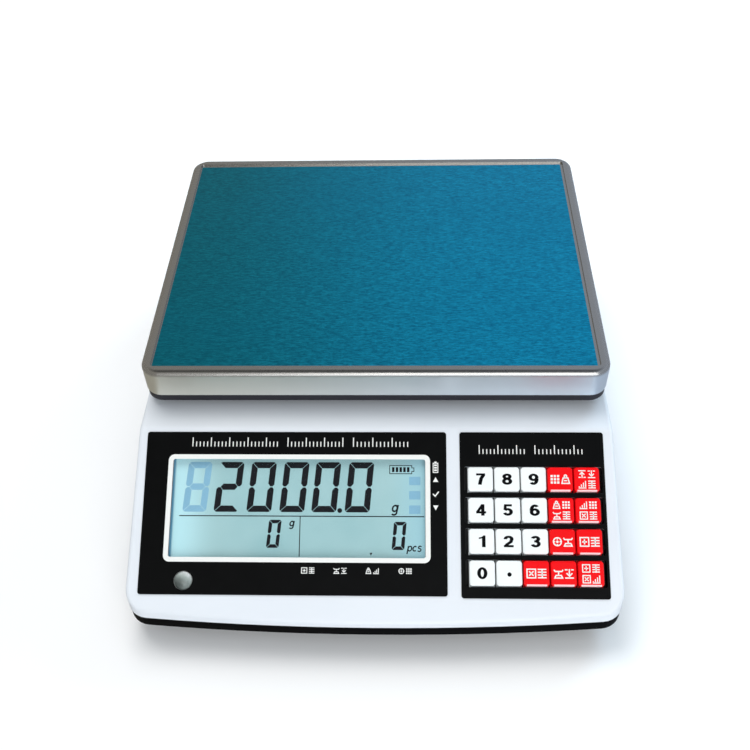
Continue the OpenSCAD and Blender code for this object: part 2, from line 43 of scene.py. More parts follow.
# The sloped panel starts at the middle of the deck's front edge. What lies on it is placed in mm from there:
# to the right, down the slope, and out from the panel's face.
PANEL_AT = (0, -0.0699, 0.077)
PANEL_SLOPE = radians(29.2)
OVERLAY_TOP = 0.4
KEY_TOP = 2.6
LCD_TOP = -2.7
INK = 0.04                  # thickness of a print
WINDOW_AT = (-42.1, 44.9)   # middle of the clear window
WINDOW_SIZE = (141.4, 55)
LEVEL_AT = (-103.8, 84.8)
KEY_FIRST = (59.25, 28.9)   # middle of the upper left key
KEY_PITCH = (14.6, 17)
KEY_EDGE = 5.75             # from a key's middle down to its rounded lower edge


# ---------------------------------------------------------------- camera, light and floor

def camera():
    """Looks down at the front of the scale, a little from its right."""
    yaw, pitch, roll = radians(-2.98), radians(46.43), radians(-2.19)
    forward = Vector((sin(yaw) * cos(pitch), cos(yaw) * cos(pitch), -sin(pitch)))
    level = Vector((cos(yaw), -sin(yaw), 0))
    over = level.cross(forward)
    right = cos(roll) * level + sin(roll) * over
    up = cos(roll) * over - sin(roll) * level
    data = bpy.data.cameras.new("camera")
    data.sensor_width = 36
    data.lens = 45.74
    data.clip_start = 0.01
    obj = bpy.data.objects.new("camera", data)
    turn = Matrix((right, up, -forward)).transposed().to_4x4()
    obj.matrix_world = Matrix.Translation((0.01986, -0.4187, 0.488)) @ turn
    bpy.context.scene.collection.objects.link(obj)
    bpy.context.scene.camera = obj


def softbox(name, at, to, size, watts, colour, mirrored=True):
    """A rectangular light; one that isn't mirrored leaves no glare on flat gloss."""
    data = bpy.data.lights.new(name, "AREA")
    data.shape = "RECTANGLE"
    data.size, data.size_y = size
    data.energy = watts
    data.color = colour
    obj = bpy.data.objects.new(name, data)
    obj.location = at
    obj.rotation_euler = (Vector(to) - Vector(at)).to_track_quat("-Z", "Y").to_euler()
    obj.visible_glossy = mirrored
    bpy.context.scene.collection.objects.link(obj)


def room():
    """Even light from all round; its reflection is darker, most so overhead, and bluer to the right."""
    world = bpy.data.worlds.new("studio")
    bpy.context.scene.world = world
    world.use_nodes = True
    nodes, links = world.node_tree.nodes, world.node_tree.links
    even = nodes["Background"]
    even.inputs["Color"].default_value = (0.90, 0.95, 1.0, 1)
    even.inputs["Strength"].default_value = 0.5
    where = nodes.new("ShaderNodeTexCoord")
    split = nodes.new("ShaderNodeSeparateXYZ")
    links.new(where.outputs["Generated"], split.inputs["Vector"])
    height = nodes.new("ShaderNodeValToRGB")
    bar = height.color_ramp.elements
    bar.new(0.75)
    for stop, at, grey in zip(bar, (0.0, 0.75, 0.95), (0.82, 0.90, 0.20)):
        stop.position, stop.color = at, (grey, grey, grey, 1)
    links.new(split.outputs["Z"], height.inputs["Fac"])
    side = nodes.new("ShaderNodeMapRange")
    side.interpolation_type = "SMOOTHSTEP"
    side.inputs["From Min"].default_value = -0.35
    side.inputs["From Max"].default_value = 0.35
    links.new(split.outputs["X"], side.inputs["Value"])
    tint = nodes.new("ShaderNodeMix")
    tint.data_type = "RGBA"
    links.new(side.outputs["Result"], tint.inputs[0])
    tint.inputs[6].default_value = (0.40, 0.385, 0.35, 1)
    tint.inputs[7].default_value = (0.50, 0.56, 0.66, 1)
    both = nodes.new("ShaderNodeMix")
    both.data_type, both.blend_type = "RGBA", "MULTIPLY"
    both.inputs[0].default_value = 1
    links.new(height.outputs["Color"], both.inputs[6])
    links.new(tint.outputs[2], both.inputs[7])
    seen = nodes.new("ShaderNodeBackground")
    links.new(both.outputs[2], seen.inputs["Color"])
    path = nodes.new("ShaderNodeLightPath")
    choose = nodes.new("ShaderNodeMixShader")
    links.new(path.outputs["Is Glossy Ray"], choose.inputs["Fac"])
    links.new(even.outputs["Background"], choose.inputs[1])
    links.new(seen.outputs["Background"], choose.inputs[2])
    links.new(choose.outputs["Shader"], nodes["World Output"].inputs["Surface"])


def studio():
    warm, cool, blue = (1.0, 0.99, 0.97), (0.93, 0.97, 1.0), (0.60, 0.82, 1.0)
    softbox("light_top", (-0.35, 0.55, 1.5), (0, 0, 0.05), (1.1, 0.9), 15, warm, mirrored=False)
    softbox("light_front", (0.35, -1.35, 1.0), (0, -0.05, 0.05), (1.2, 0.7), 6.5, warm)
    softbox("light_low", (0.30, -1.30, 0.22), (0.03, -0.05, 0.09), (1.3, 0.5), 5, cool)
    softbox("light_back_right", (1.0, 1.15, 0.85), (0.05, 0.05, 0.1), (0.8, 0.7), 16, blue, mirrored=False)
    room()
    bpy.context.scene.view_settings.view_transform = "Standard"
    bpy.context.scene.view_settings.look = "None"


# ---------------------------------------------------------------- material kit

def material(name, colour, roughness, **inputs):
    """A Principled material; further sockets are given with _ for each space."""
    made = bpy.data.materials.new(name)
    made.use_nodes = True
    shader = made.node_tree.nodes["Principled BSDF"]
    shader.inputs["Base Color"].default_value = (*colour, 1)
    shader.inputs["Roughness"].default_value = roughness
    for key, value in inputs.items():
        shader.inputs[key.replace("_", " ")].default_value = value
    return made


def shader_of(made):
    return made.node_tree.nodes["Principled BSDF"]


def place_of(made, stretch=(1, 1, 1)):
    """The object's own coordinates in metres, stretched."""
    nodes, links = made.node_tree.nodes, made.node_tree.links
    where = nodes.new("ShaderNodeTexCoord")
    mapping = nodes.new("ShaderNodeMapping")
    mapping.inputs["Scale"].default_value = stretch
    links.new(where.outputs["Object"], mapping.inputs["Vector"])
    return mapping.outputs["Vector"]


def noise(made, scale, stretch=(1, 1, 1), detail=3.0, rough=0.55):
    tex = made.node_tree.nodes.new("ShaderNodeTexNoise")
    tex.inputs["Scale"].default_value = scale
    tex.inputs["Detail"].default_value = detail
    tex.inputs["Roughness"].default_value = rough
    made.node_tree.links.new(place_of(made, stretch), tex.inputs["Vector"])
    return tex.outputs["Fac"]


def cells(made, scale, stretch=(1, 1, 1)):
    tex = made.node_tree.nodes.new("ShaderNodeTexVoronoi")
    tex.inputs["Scale"].default_value = scale
    made.node_tree.links.new(place_of(made, stretch), tex.inputs["Vector"])
    return tex.outputs["Distance"]


def ramp(made, value, stops):
    """Maps a value to grey or colour; stops are (position, colour or grey)."""
    node = made.node_tree.nodes.new("ShaderNodeValToRGB")
    bar = node.color_ramp
    for i, (at, colour) in enumerate(stops):
        stop = bar.elements[i] if i < 2 else bar.elements.new(at)
        stop.position = at
        stop.color = (*colour, 1) if isinstance(colour, tuple) else (colour, colour, colour, 1)
    made.node_tree.links.new(value, node.inputs["Fac"])
    return node.outputs["Color"]


def mixed(made, value, low, high):
    """Blends two colours, or two colour outputs, by a value."""
    node = made.node_tree.nodes.new("ShaderNodeMix")
    node.data_type = "RGBA"
    links = made.node_tree.links
    links.new(value, node.inputs["Factor"])
    ends = [socket for socket in node.inputs if socket.type == "RGBA"]
    for socket, source in zip(ends, (low, high)):
        if isinstance(source, tuple):
            socket.default_value = (*source, 1)
        else:
            links.new(source, socket)
    return [socket for socket in node.outputs if socket.type == "RGBA"][0]


def along(made, axis, start, end):
    """0 to 1 from start to end, in metres, along one of the object's axes."""
    nodes, links = made.node_tree.nodes, made.node_tree.links
    split = nodes.new("ShaderNodeSeparateXYZ")
    links.new(place_of(made), split.inputs["Vector"])
    node = nodes.new("ShaderNodeMapRange")
    node.interpolation_type = "SMOOTHSTEP"
    node.inputs["From Min"].default_value = start
    node.inputs["From Max"].default_value = end
    links.new(split.outputs[axis], node.inputs["Value"])
    return node.outputs["Result"]


def scaled(made, value, low, high):
    """A value from 0…1 moved to low…high."""
    node = made.node_tree.nodes.new("ShaderNodeMapRange")
    node.inputs["To Min"].default_value = low
    node.inputs["To Max"].default_value = high
    made.node_tree.links.new(value, node.inputs["Value"])
    return node.outputs["Result"]


def maths(made, a, b, kind="ADD"):
    """One sum of two numbers or values; kind is Blender's name for it."""
    node = made.node_tree.nodes.new("ShaderNodeMath")
    node.operation = kind
    for socket, source in zip(node.inputs, (a, b)):
        if isinstance(source, (int, float)):
            socket.default_value = source
        else:
            made.node_tree.links.new(source, socket)
    return node.outputs["Value"]


def feed(made, socket, value):
    made.node_tree.links.new(value, shader_of(made).inputs[socket])


def relief(made, height, depth, strength=1.0):
    """Bump whose full height is depth, in metres."""
    node = made.node_tree.nodes.new("ShaderNodeBump")
    node.inputs["Strength"].default_value = strength
    node.inputs["Distance"].default_value = depth
    made.node_tree.links.new(height, node.inputs["Height"])
    feed(made, "Normal", node.outputs["Normal"])


# ---------------------------------------------------------------- materials

def moulded(name, low, high, roughness, grain=0.02 * MM, **inputs):
    """Moulded plastic: fine spark texture, slow colour drift and faint handling marks."""
    made = material(name, high, roughness, **inputs)
    feed(made, "Base Color", mixed(made, noise(made, 22), low, high))
    smears = noise(made, 45, (1, 0.45, 1), detail=5)
    feed(made, "Roughness", scaled(made, smears, roughness - 0.06, roughness + 0.08))
    relief(made, noise(made, 1700, detail=2), grain, 0.6)
    return made


def brushed(name, low, high, roughness, stretch=(0.02, 1, 1)):
    """Brushed metal: long fine streaks along the axis that is stretched least, X unless it is given."""
    made = material(name, high, roughness, Metallic=1.0)
    streaks = noise(made, 2600, stretch, detail=4, rough=0.7)
    feed(made, "Base Color", mixed(made, streaks, low, high))
    feed(made, "Roughness", scaled(made, streaks, roughness - 0.08, roughness + 0.12))
    relief(made, streaks, 0.006 * MM, 0.5)
    return made


def pan_steel():
    """Brushed stainless sheet; its turned-down flange is painted lighter than the border, warm grey at the
    left end and pale blue at the right: a painted reflection.
    """
    made = material("pan_steel", (0.5, 0.5, 0.49), 0.26, Metallic=1.0)
    low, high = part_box("weighing_pan")
    streaks = noise(made, 2600, (0.02, 1, 1), detail=4, rough=0.7)
    border = mixed(made, streaks, (0.42, 0.41, 0.395), (0.52, 0.51, 0.49))
    # Painted reflection: the flange is lighter than the border, warm grey at the left turning pale blue to
    # the right.
    side = mixed(made, along(made, "X", low[0], high[0] - 20 * MM), (0.80, 0.79, 0.70), (0.80, 0.88, 0.95))
    flange = along(made, "Z", high[2] - 1.5 * MM, high[2] - 4 * MM)
    feed(made, "Base Color", mixed(made, flange, border, side))
    feed(made, "Roughness", maths(made, scaled(made, streaks, 0.16, 0.36), scaled(made, flange, 0, 0.14)))
    relief(made, streaks, 0.006 * MM, 0.5)
    return made


def film_blue():
    """Blue protective film over brushed steel: the streaks show through, with slow wrinkles in its gloss; it
    is painted from teal at the left to a lighter blue at the right, a painted reflection.
    """
    made = material("film_blue", (0.005, 0.2, 0.33), 0.34, Metallic=0.95, Specular_IOR_Level=0.3,
                    Coat_Weight=0.05, Coat_Roughness=0.25)
    streaks = noise(made, 1600, (0.2, 1, 1), detail=5, rough=0.8)
    patches = noise(made, 14, (0.5, 1, 1), detail=3)
    strong = ramp(made, streaks, [(0.40, 0.0), (0.63, 1.0)])
    teal = mixed(made, strong, (0.002, 0.155, 0.22), (0.010, 0.355, 0.47))
    blue = mixed(made, strong, (0.002, 0.225, 0.43), (0.015, 0.60, 0.94))
    # Painted reflection: teal at the left end, a lighter blue towards the right.
    base = mixed(made, along(made, "X", -0.14, 0.07), teal, blue)
    faded = ramp(made, patches, [(0.35, 0.0), (0.75, 0.3)])
    feed(made, "Base Color", mixed(made, faded, base, (0.004, 0.30, 0.52)))
    feed(made, "Roughness", scaled(made, streaks, 0.24, 0.42))
    wrinkles = noise(made, 60, (0.5, 1, 1), detail=2)
    relief(made, maths(made, maths(made, streaks, 0.06, "MULTIPLY"), wrinkles), 0.1 * MM, 0.5)
    return made


def cast():
    made = material("cast_aluminium", (0.55, 0.56, 0.57), 0.55, Metallic=0.9)
    grain = noise(made, 900, detail=4)
    feed(made, "Base Color", mixed(made, grain, (0.42, 0.43, 0.44), (0.62, 0.63, 0.64)))
    relief(made, grain, 0.08 * MM, 0.7)
    return made


def rubber():
    made = material("rubber_black", (0.018, 0.018, 0.019), 0.72)
    feed(made, "Base Color", mixed(made, noise(made, 70), (0.012, 0.012, 0.013), (0.03, 0.03, 0.032)))
    relief(made, noise(made, 1300, detail=3), 0.04 * MM, 0.7)
    return made


def overlay_black():
    """Printed polyester face sheet: near black, faintly textured."""
    made = material("overlay_black", (0.002, 0.0022, 0.0024), 0.42, Specular_IOR_Level=0.12)
    feed(made, "Base Color", mixed(made, noise(made, 120), (0.0012, 0.0014, 0.0015), (0.0028, 0.003, 0.0032)))
    feed(made, "Roughness", scaled(made, noise(made, 55, detail=4), 0.36, 0.52))
    relief(made, cells(made, 2600), 0.006 * MM, 0.5)
    return made


def window_clear():
    """Clear acrylic, shown by its gloss only."""
    made = material("window_clear", (0.1, 0.2, 0.22), 0.06, Alpha=0.03, Specular_IOR_Level=0.5)
    feed(made, "Roughness", scaled(made, noise(made, 40), 0.04, 0.12))
    return made


def lcd_panel():
    """Reflective liquid crystal panel, mottled; its glow is painted, standing for the backlight shining
    through it, and is brightest from its left end, with a painted shadow of the housing wall along that edge.
    """
    made = material("lcd_panel", (0.34, 0.54, 0.56), 0.35, Specular_IOR_Level=0.1, Emission_Strength=0.14)
    mottle = ramp(made, noise(made, 26, detail=2), [(0.3, 0.0), (0.7, 1.0)])
    plain = mixed(made, mottle, (0.29, 0.48, 0.50), (0.36, 0.55, 0.565))
    # Painted glow, lighter towards the left end, where the backlight shows through most.
    tint = mixed(made, along(made, "X", -0.085, -0.114), plain, (0.47, 0.75, 0.80))
    tint = mixed(made, along(made, "X", 0.005, 0.032), tint, (0.33, 0.57, 0.64))
    # Painted shadow of the housing wall: a dark strip along the left edge.
    tint = mixed(made, along(made, "X", -0.1115, -0.1128), tint, (0.10, 0.27, 0.40))
    feed(made, "Base Color", tint)
    # The panel glows with its own colour: a painted glow for the backlight shining through it.
    feed(made, "Emission Color", tint)
    relief(made, noise(made, 1500, detail=2), 0.004 * MM, 0.5)
    return made


def backlight():
    made = material("backlight_white", (0.85, 0.88, 0.9), 0.5, Emission_Strength=0.3)
    tint = mixed(made, noise(made, 80), (0.8, 0.84, 0.86), (0.9, 0.92, 0.93))
    feed(made, "Base Color", tint)
    feed(made, "Emission Color", tint)
    return made


def board_green():
    made = material("board_green", (0.015, 0.12, 0.05), 0.35, Coat_Weight=0.3)
    tracks = cells(made, 260, (1, 0.35, 1))
    bare = ramp(made, tracks, [(0.22, 0.0), (0.3, 1.0)])
    feed(made, "Base Color", mixed(made, bare, (0.03, 0.2, 0.09), (0.012, 0.1, 0.045)))
    return made


def level_grey():
    made = material("level_grey", (0.42, 0.44, 0.43), 0.35)
    feed(made, "Base Color", mixed(made, noise(made, 300), (0.36, 0.38, 0.37), (0.5, 0.52, 0.5)))
    return made


def level_liquid():
    """Cloudy domed lens over the level's liquid, painted lighter to the upper right and darker to the bottom,
    as light falls on a dome; its bubble shows faintly.
    """
    made = material("level_liquid", (0.33, 0.36, 0.35), 0.3, Alpha=0.94, Specular_IOR_Level=0.4)
    low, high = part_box("level_lens")
    # Painted shading: lighter upwards and to the right, dark at the bottom, as on a lit dome.
    up = along(made, "Y", low[1] + 1 * MM, low[1] + 10 * MM)
    across = along(made, "X", low[0], high[0])
    painted_shading = maths(made, scaled(made, up, 0, 0.68), scaled(made, across, 0, 0.32))
    cloud = scaled(made, noise(made, 500, detail=2), -0.1, 0.1)
    stops = [(0.08, (0.08, 0.095, 0.09)), (0.85, (0.82, 0.84, 0.83)), (0.45, (0.33, 0.38, 0.355))]
    feed(made, "Base Color", ramp(made, maths(made, painted_shading, cloud), stops))
    feed(made, "Roughness", scaled(made, noise(made, 200), 0.24, 0.4))
    return made


def edge_highlight_mask(made):
    """1 on the rounded lower edge of every key, save at its ends, and 0 on the rest: where a painted
    highlight goes.
    """
    nodes, links = made.node_tree.nodes, made.node_tree.links
    where = nodes.new("ShaderNodeTexCoord")
    on_panel = nodes.new("ShaderNodeMapping")
    on_panel.vector_type = "TEXTURE"
    on_panel.inputs["Location"].default_value = PANEL_AT
    on_panel.inputs["Rotation"].default_value = (PANEL_SLOPE, 0, 0)
    links.new(where.outputs["Object"], on_panel.inputs["Vector"])
    split = nodes.new("ShaderNodeSeparateXYZ")
    links.new(on_panel.outputs["Vector"], split.inputs["Vector"])
    in_cell = []
    for axis, sign, first, pitch in zip("XY", (1, -1), KEY_FIRST, KEY_PITCH):
        place = maths(made, split.outputs[axis], sign, "MULTIPLY")
        place = maths(made, place, (first - pitch / 2) * MM, "SUBTRACT")
        in_cell.append(maths(made, place, pitch * MM, "FLOORED_MODULO"))
    over, down = in_cell
    aside = maths(made, maths(made, over, KEY_PITCH[0] / 2 * MM, "SUBTRACT"), 0, "ABSOLUTE")
    lower = maths(made, down, (KEY_PITCH[1] / 2 + KEY_EDGE) * MM, "GREATER_THAN")
    return maths(made, lower, maths(made, aside, 5.4 * MM, "LESS_THAN"), "MULTIPLY")


def key_cap(name, low, high, edge_highlight=None):
    """Glossy moulded key, worn a little smoother in places; its lower edge may carry a painted highlight of a
    paler colour.
    """
    made = material(name, high, 0.3, Specular_IOR_Level=0.2, Coat_Weight=0.3, Coat_Roughness=0.08)
    plain = mixed(made, noise(made, 90), low, high)
    # Where a colour is given, a painted highlight along the lower edge.
    feed(made, "Base Color", mixed(made, edge_highlight_mask(made), plain, edge_highlight) if edge_highlight else plain)
    feed(made, "Roughness", scaled(made, noise(made, 140, detail=4), 0.22, 0.4))
    relief(made, noise(made, 900, detail=2), 0.008 * MM, 0.5)
    return made


def silicone():
    made = material("mat_silicone", (0.05, 0.05, 0.055), 0.6)
    feed(made, "Base Color", mixed(made, noise(made, 150), (0.035, 0.036, 0.038), (0.065, 0.066, 0.07)))
    relief(made, noise(made, 1100), 0.02 * MM, 0.5)
    return made


def iron():
    """Transformer core, with its laminations as fine lines."""
    made = material("transformer_iron", (0.2, 0.19, 0.18), 0.5, Metallic=0.8)
    layers = noise(made, 2000, (0.02, 0.02, 1), detail=1)
    feed(made, "Base Color", mixed(made, layers, (0.12, 0.11, 0.11), (0.3, 0.29, 0.28)))
    relief(made, layers, 0.05 * MM, 0.8)
    return made


def ink(name, low, high, roughness=0.45, **inputs):
    """Screen-printed ink, very slightly uneven."""
    made = material(name, high, roughness, Specular_IOR_Level=0.08, **inputs)
    feed(made, "Base Color", mixed(made, noise(made, 700, detail=4), low, high))
    relief(made, noise(made, 2200), 0.004 * MM, 0.4)
    return made


SURFACES = {
    "shell_white": lambda: moulded("shell_white", (0.72, 0.76, 0.81), (0.78, 0.815, 0.86), 0.34,
                                   Coat_Weight=0.15, Coat_Roughness=0.25),
    "shell_black": lambda: moulded("shell_black", (0.001, 0.001, 0.001), (0.002, 0.002, 0.0025), 0.5,
                                   0.04 * MM, Specular_IOR_Level=0.03),
    "tray_black": lambda: moulded("tray_black", (0.011, 0.010, 0.015), (0.020, 0.018, 0.026), 0.42,
                                  0.03 * MM, Specular_IOR_Level=0.3),
    "inlet_black": lambda: moulded("inlet_black", (0.014, 0.014, 0.015), (0.024, 0.024, 0.026), 0.35),
    "battery_case": lambda: moulded("battery_case", (0.10, 0.11, 0.13), (0.14, 0.15, 0.17), 0.5),
    "pan_steel": pan_steel,
    "machined_aluminium": lambda: brushed("machined_aluminium", (0.6, 0.61, 0.62), (0.75, 0.76, 0.77), 0.32),
    "screw_steel": lambda: brushed("screw_steel", (0.4, 0.4, 0.41), (0.6, 0.6, 0.61), 0.3, (1, 1, 0.02)),
    "cast_aluminium": cast,
    "film_blue": film_blue,
    "rubber_black": rubber,
    "overlay_black": overlay_black,
    "window_clear": window_clear,
    "lcd_panel": lcd_panel,
    "backlight_white": backlight,
    "board_green": board_green,
    "level_grey": level_grey,
    "level_liquid": level_liquid,
    "key_white": lambda: key_cap("key_white", (0.82, 0.855, 0.85), (0.90, 0.925, 0.92)),
    # The red keys' pale lower edge is a painted highlight.
    "key_red": lambda: key_cap("key_red", (0.80, 0.001, 0.003), (0.94, 0.002, 0.006), (0.95, 0.62, 0.64)),
    "mat_silicone": silicone,
    "transformer_iron": iron,
}


def dress_frame():
    """Every CAD node takes the materials that its slots name."""
    made = {}
    for node in NODES.values():
        for place in node.material_slots:
            slot = place.material.name.split(".")[0]
            if slot not in made:
                made[slot] = SURFACES[slot]()
            place.material = made[slot]


# ---------------------------------------------------------------- flat prints on the sloped panel

PANEL = Matrix.Translation(PANEL_AT) @ Matrix.Rotation(PANEL_SLOPE, 4, "X") @ Matrix.Scale(MM, 4)
LCD_LEFT, LCD_UPPER = WINDOW_AT[0] - WINDOW_SIZE[0] / 2, WINDOW_AT[1] - WINDOW_SIZE[1] / 2


class Drawing:
    """Closed, slightly raised shapes in mm on the panel: x to the right, v down the slope.

    They are set at x, v and widened with their strokes.
    """

    def __init__(self, level, thick=INK, x=0, v=0, widen=1.0):
        self.bm = bmesh.new()
        self.level, self.thick, self.x, self.v, self.widen = level, thick, x, v, widen

    def _point(self, p, h):
        return self.bm.verts.new(PANEL @ Vector((self.x + p[0] * self.widen, -(self.v + p[1]), h)))

    def polygon(self, points):
        top = [self._point(p, self.level + self.thick) for p in points]
        low = [self._point(p, self.level) for p in points]
        self.bm.faces.new(top)
        self.bm.faces.new(reversed(low))
        for i in range(len(points)):
            j = (i + 1) % len(points)
            self.bm.faces.new((top[j], top[i], low[i], low[j]))

    def band(self, outer, inner):
        """The strip between two closed loops of as many points."""
        heights = (self.level + self.thick, self.level)
        loops = [[self._point(p, h) for p in loop] for h in heights for loop in (outer, inner)]
        top_out, top_in, low_out, low_in = loops
        for i in range(len(outer)):
            j = (i + 1) % len(outer)
            self.bm.faces.new((top_out[i], top_out[j], top_in[j], top_in[i]))
            self.bm.faces.new((low_in[i], low_in[j], low_out[j], low_out[i]))
            self.bm.faces.new((top_out[j], top_out[i], low_out[i], low_out[j]))
            self.bm.faces.new((top_in[i], top_in[j], low_in[j], low_in[i]))

    def stroke(self, points, width, closed=False):
        """A line of even width with mitred bends."""
        count = len(points)
        left, right = [], []
        for i, p in enumerate(points):
            here = Vector(p)
            before = Vector(points[i - 1]) if closed or i else None
            after = Vector(points[(i + 1) % count]) if closed or i < count - 1 else None
            a = (here - before).normalized() if before is not None else (after - here).normalized()
            b = (after - here).normalized() if after is not None else a
            side = Vector((-(a + b).y, (a + b).x)).normalized()
            reach = width / 2 / max(0.35, side.dot(Vector((-b.y, b.x))))
            left.append(here + side * reach)
            right.append(here - side * reach)
        if closed:
            self.band(left, right)
        else:
            self.polygon(left + right[::-1])

    def box(self, x0, v0, x1, v1):
        self.polygon([(x0, v0), (x1, v0), (x1, v1), (x0, v1)])

    def disc(self, x, v, r, sides=24):
        turns = [2 * pi * i / sides for i in range(sides)]
        self.polygon([(x + r * cos(a), v + r * sin(a)) for a in turns])

    def ring(self, x, v, r, width, sides=32):
        turn = [(cos(2 * pi * i / sides), sin(2 * pi * i / sides)) for i in range(sides)]
        self.band([(x + (r + width / 2) * c, v + (r + width / 2) * s) for c, s in turn],
                  [(x + (r - width / 2) * c, v + (r - width / 2) * s) for c, s in turn])

    def finish(self, name, body, surface):
        bmesh.ops.remove_doubles(self.bm, verts=self.bm.verts, dist=1e-7)
        bmesh.ops.recalc_face_normals(self.bm, faces=self.bm.faces)
        mesh = bpy.data.meshes.new(name)
        self.bm.to_mesh(mesh)
        self.bm.free()
        mesh.materials.append(surface)
        obj = bpy.data.objects.new(name, mesh)
        bpy.context.scene.collection.objects.link(obj)
        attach(obj, body)


def rounded(x0, v0, x1, v1, r, steps=6):
    """Outline of a rectangle with round corners."""
    points = []
    corners = ((x1 - r, v1 - r, 0), (x0 + r, v1 - r, 90), (x0 + r, v0 + r, 180), (x1 - r, v0 + r, 270))
    for cx, cv, start in corners:
        for i in range(steps + 1):
            a = radians(start + 90 * i / steps)
            points.append((cx + r * cos(a), cv + r * sin(a)))
    return points


def bend(cx, cv, rx, rv, start, end, steps=14):
    """Points along an ellipse's arc; angles in degrees, 0 to the right and 90 down."""
    angles = [radians(start + (end - start) * i / steps) for i in range(steps + 1)]
    return [(cx + rx * cos(a), cv + rv * sin(a)) for a in angles]


class Glyph:
    """Characters drawn with strokes of even width, placed on x, v, scaled and leant over."""

    line = 1.2

    def __init__(self, drawing, x, v, scale=1.0, lean=0.0):
        self.d, self.x, self.v, self.s, self.lean = drawing, x, v, scale, lean

    def at(self, points):
        return [(self.x + (px - pv * self.lean) * self.s, self.v + pv * self.s) for px, pv in points]

    def path(self, points, line=None):
        self.d.stroke(self.at(points), (line or self.line) * self.s)

    def loop(self, cx, cv, rx, rv, line=None):
        half = (line or self.line) / 2
        edges = [self.at(bend(cx, cv, rx + e, rv + e, 0, 350, 35)) for e in (half, -half)]
        self.d.band(*edges)

    def box(self, x0, v0, x1, v1):
        self.d.polygon(self.at([(x0, v0), (x1, v0), (x1, v1), (x0, v1)]))

    # key digits, 6.2 tall and 3.4 wide before they are widened, which leaves their stems bold
    def draw_0(self):
        self.loop(0, 0, 1.12, 2.55)

    def draw_1(self):
        flag = [(-0.95, -1.2), (-0.95, -2.05), (0.1, -2.4), (0.6, -3.15)]
        stem = [(1.3, -3.15), (1.3, 3.15), (0.1, 3.15), (0.1, -1.6)]
        self.d.polygon(self.at(flag + stem))

    def draw_2(self):
        self.path(bend(0, -1.3, 1.08, 1.2, 175, 372) + [(0.7, 0.3), (-0.5, 1.5), (-1.0, 2.5)])
        self.box(-1.65, 1.95, 1.65, 3.1)

    def draw_3(self):
        self.path(bend(-0.05, -1.42, 1.0, 1.05, 195, 440))
        self.path(bend(-0.05, 1.2, 1.12, 1.3, 278, 525))
        self.box(-0.5, -0.65, 0.3, 0.45)

    def draw_4(self):
        self.box(0.0, -3.1, 1.15, 3.1)
        self.box(-1.7, 0.75, 1.7, 1.9)
        self.path([(-1.3, 1.25), (0.4, -2.6)], 1.0)

    def draw_5(self):
        self.box(-1.2, -3.15, 1.4, -2.0)
        self.path([(-0.8, -2.9), (-1.0, -0.1)], 0.95)
        self.path(bend(-0.05, 1.0, 1.15, 1.5, 215, 520))

    def draw_6(self):
        self.loop(0.03, 1.05, 1.12, 1.45)
        self.path(bend(0.1, 0.15, 1.2, 2.65, 312, 178))

    def draw_7(self):
        self.box(-1.5, -3.15, 1.6, -2.0)
        self.path([(1.1, -2.4), (0.2, -0.3), (-0.3, 3.1)], 1.25)

    def draw_8(self):
        self.loop(0, -1.42, 1.0, 1.05)
        self.loop(0, 1.2, 1.15, 1.3)

    def draw_9(self):
        self.loop(-0.03, -1.05, 1.12, 1.45)
        self.path(bend(-0.1, -0.15, 1.2, 2.65, 132, -2))

    # small letters of the units, 4 tall between base line and top, 0 half way up
    def draw_g(self):
        self.loop(-0.1, -0.1, 1.15, 1.45, 0.85)
        self.path([(1.15, -1.8), (1.15, 2.0)] + bend(0, 2.1, 1.15, 1.0, 10, 150), 0.85)

    def draw_p(self):
        self.loop(0.2, -0.1, 1.15, 1.45, 0.8)
        self.path([(-1.0, -1.8), (-1.0, 3.3)], 0.8)

    def draw_c(self):
        self.path(bend(0, -0.1, 1.15, 1.45, -45, -315), 0.8)

    def draw_s(self):
        self.path(bend(0.05, -0.95, 0.9, 0.75, -20, -235) + bend(0.05, 0.75, 1.0, 0.85, -55, 160), 0.75)


